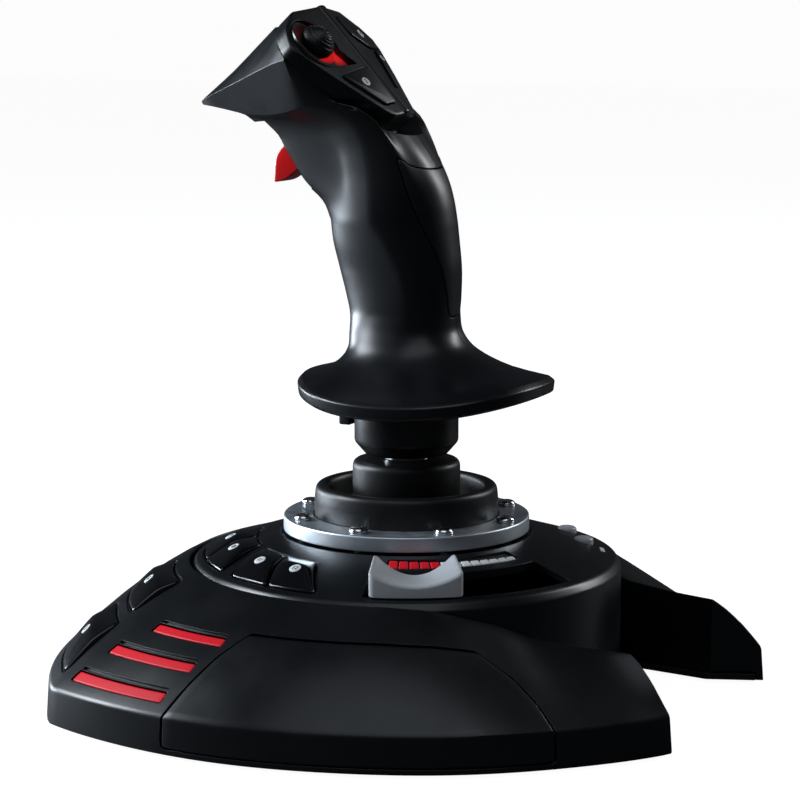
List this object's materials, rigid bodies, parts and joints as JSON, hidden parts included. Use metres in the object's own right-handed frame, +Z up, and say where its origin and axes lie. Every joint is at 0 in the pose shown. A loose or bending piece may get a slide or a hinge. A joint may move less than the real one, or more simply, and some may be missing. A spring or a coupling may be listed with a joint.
{
  "type": "flight joystick",
  "caption": "Desktop flight joystick: horseshoe base with throttle paddle and keys, gimballed stick with a boot, and a twisting pistol grip with hand rest, trigger, hat switch and thumb keys.",
  "frame": {"origin": "on the stick's axis, at the table surface that the rubber feet rest on", "axes": "+Z up along the stick's axis, +Y away from the user (the way the nose points), +X to the user's right"},
  "size_m": [0.222, 0.2168, 0.2193],
  "materials": {
    "black_satin": "black satin plastic with a fine sparkle grain",
    "dark_matte": "plain matt black",
    "key_gloss": "polished black key tops",
    "rubber": "matt black rubber",
    "red_plastic": "bright red, semi-gloss",
    "silver_plastic": "silver-grey satin",
    "ring_metal": "satin light grey metal",
    "bright_steel": "bright plated",
    "steel": "turned steel",
    "ballast": "dark cast",
    "circuit_board": "green board"
  },
  "bodies": {
    "base": {"base_shell": "black_satin", "turret_housing": "black_satin", "bottom_plate": "dark_matte", "foot_front_left": "rubber", "foot_front_right": "rubber", "foot_rear_left": "rubber", "foot_rear_right": "rubber", "red_inlay_left": "red_plastic", "red_inlay_right": "red_plastic", "wing_panel_left": "black_satin", "wing_panel_right": "black_satin", "status_lens": "silver_plastic", "throttle_scale": "red_plastic", "clamp_ring": "ring_metal", "boot": "rubber", "gimbal_housing": "dark_matte", "ring_screw_1": "bright_steel", "ring_screw_2": "bright_steel", "ring_screw_3": "bright_steel", "ring_screw_4": "bright_steel", "ring_screw_5": "bright_steel", "ring_screw_6": "bright_steel", "ring_screw_7": "bright_steel", "ring_screw_8": "bright_steel", "ballast_weight": "ballast", "circuit_board": "circuit_board", "throttle_sensor": "dark_matte", "cable_gland": "rubber"},
    "pitch_yoke": {"pitch_yoke": "steel"},
    "stick": {"stick_shaft": "steel", "boot_collar": "rubber", "neck": "black_satin", "centring_spring": "steel"},
    "grip": {"grip_left": "black_satin", "grip_right": "black_satin", "palm_insert": "rubber", "thumb_plate": "black_satin", "hat_window": "red_plastic", "twist_sensor": "dark_matte"},
    "rudder_lock": {"rudder_lock": "dark_matte"},
    "trigger": {"trigger": "red_plastic"},
    "thumb_key_2": {"thumb_key_2": "key_gloss"},
    "thumb_key_3": {"thumb_key_3": "key_gloss"},
    "thumb_key_4": {"thumb_key_4": "key_gloss"},
    "hat_rocker": {"hat_rocker": "steel"},
    "hat_cap": {"hat_cap": "rubber"},
    "throttle": {"throttle_paddle": "silver_plastic", "throttle_arm": "dark_matte"},
    "preset_key": {"preset_key": "bright_steel"},
    "mapping_key": {"mapping_key": "bright_steel"},
    "base_key_5": {"base_key_5": "key_gloss"},
    "base_key_6": {"base_key_6": "key_gloss"},
    "base_key_7": {"base_key_7": "key_gloss"},
    "base_key_8": {"base_key_8": "key_gloss"},
    "base_key_9": {"base_key_9": "key_gloss"},
    "base_key_10": {"base_key_10": "key_gloss"},
    "base_key_11": {"base_key_11": "key_gloss"},
    "base_key_12": {"base_key_12": "key_gloss"},
    "tension_dial": {"tension_dial": "dark_matte"}
  },
  "joints": [
    {"name": "stick_pitch", "type": "hinge", "parent": "base", "child": "pitch_yoke", "pos_m": [0, 0, 0.046], "axis": [1, 0, 0], "range_deg": [-13, 13], "stiffness_Nm_per_rad": 2.5},
    {"name": "stick_roll", "type": "hinge", "parent": "pitch_yoke", "child": "stick", "pos_m": [0, 0, 0.046], "axis": [0, 1, 0], "range_deg": [-13, 13], "stiffness_Nm_per_rad": 2.5},
    {"name": "grip_twist", "type": "hinge", "parent": "stick", "child": "grip", "pos_m": [0, 0, 0.0948], "axis": [0, 0, 1], "range_deg": [-20, 20], "stiffness_Nm_per_rad": 0.3},
    {"name": "rudder_lock_slide", "type": "slide", "parent": "stick", "child": "rudder_lock", "axis": [0, 0, -1], "range_m": [0, 0.003]},
    {"name": "trigger_pull", "type": "hinge", "parent": "grip", "child": "trigger", "pos_m": [0, 0.031, 0.177], "axis": [-1, 0, 0], "range_deg": [0, 10], "stiffness_Nm_per_rad": 0.2},
    {"name": "thumb_key_2_press", "type": "slide", "parent": "grip", "child": "thumb_key_2", "axis": [0, 0.7325, -0.6807], "range_m": [0, 0.0012], "stiffness_N_per_m": 300},
    {"name": "thumb_key_3_press", "type": "slide", "parent": "grip", "child": "thumb_key_3", "axis": [0, 0.7325, -0.6807], "range_m": [0, 0.0012], "stiffness_N_per_m": 300},
    {"name": "thumb_key_4_press", "type": "slide", "parent": "grip", "child": "thumb_key_4", "axis": [0, 0.7325, -0.6807], "range_m": [0, 0.0012], "stiffness_N_per_m": 300},
    {"name": "hat_up_down", "type": "hinge", "parent": "grip", "child": "hat_rocker", "pos_m": [-0.0175, 0.02925, 0.20176], "axis": [1, 0, 0], "range_deg": [-8, 8], "stiffness_Nm_per_rad": 0.05},
    {"name": "hat_left_right", "type": "hinge", "parent": "hat_rocker", "child": "hat_cap", "pos_m": [-0.0175, 0.02925, 0.20176], "axis": [0, 0.6807, 0.7325], "range_deg": [-8, 8], "stiffness_Nm_per_rad": 0.05},
    {"name": "throttle_turn", "type": "hinge", "parent": "base", "child": "throttle", "pos_m": [0, 0, 0.031], "axis": [0, 0, 1], "range_deg": [0, 35]},
    {"name": "preset_press", "type": "slide", "parent": "base", "child": "preset_key", "axis": [0, 0, -1], "range_m": [0, 0.001], "stiffness_N_per_m": 300},
    {"name": "mapping_press", "type": "slide", "parent": "base", "child": "mapping_key", "axis": [0, 0, -1], "range_m": [0, 0.001], "stiffness_N_per_m": 300},
    {"name": "base_key_5_press", "type": "slide", "parent": "base", "child": "base_key_5", "axis": [0.3194, -0.5126, -0.797], "range_m": [0, 0.0015], "stiffness_N_per_m": 300},
    {"name": "base_key_6_press", "type": "slide", "parent": "base", "child": "base_key_6", "axis": [0.2569, -0.4057, -0.8772], "range_m": [0, 0.0015], "stiffness_N_per_m": 300},
    {"name": "base_key_7_press", "type": "slide", "parent": "base", "child": "base_key_7", "axis": [-0.2569, -0.4057, -0.8772], "range_m": [0, 0.0015], "stiffness_N_per_m": 300},
    {"name": "base_key_8_press", "type": "slide", "parent": "base", "child": "base_key_8", "axis": [-0.3194, -0.5126, -0.797], "range_m": [0, 0.0015], "stiffness_N_per_m": 300},
    {"name": "base_key_9_press", "type": "slide", "parent": "base", "child": "base_key_9", "axis": [0.1215, -0.267, -0.956], "range_m": [0, 0.0015], "stiffness_N_per_m": 300},
    {"name": "base_key_10_press", "type": "slide", "parent": "base", "child": "base_key_10", "axis": [0.1919, -0.2219, -0.956], "range_m": [0, 0.0015], "stiffness_N_per_m": 300},
    {"name": "base_key_11_press", "type": "slide", "parent": "base", "child": "base_key_11", "axis": [0.26, -0.1354, -0.9561], "range_m": [0, 0.0015], "stiffness_N_per_m": 300},
    {"name": "base_key_12_press", "type": "slide", "parent": "base", "child": "base_key_12", "axis": [0.2875, -0.0575, -0.9561], "range_m": [0, 0.0015], "stiffness_N_per_m": 300},
    {"name": "tension_turn", "type": "hinge", "parent": "base", "child": "tension_dial", "pos_m": [0, 0, 0.0024], "axis": [0, 0, 1], "range_deg": [0, 270]}
  ]
}
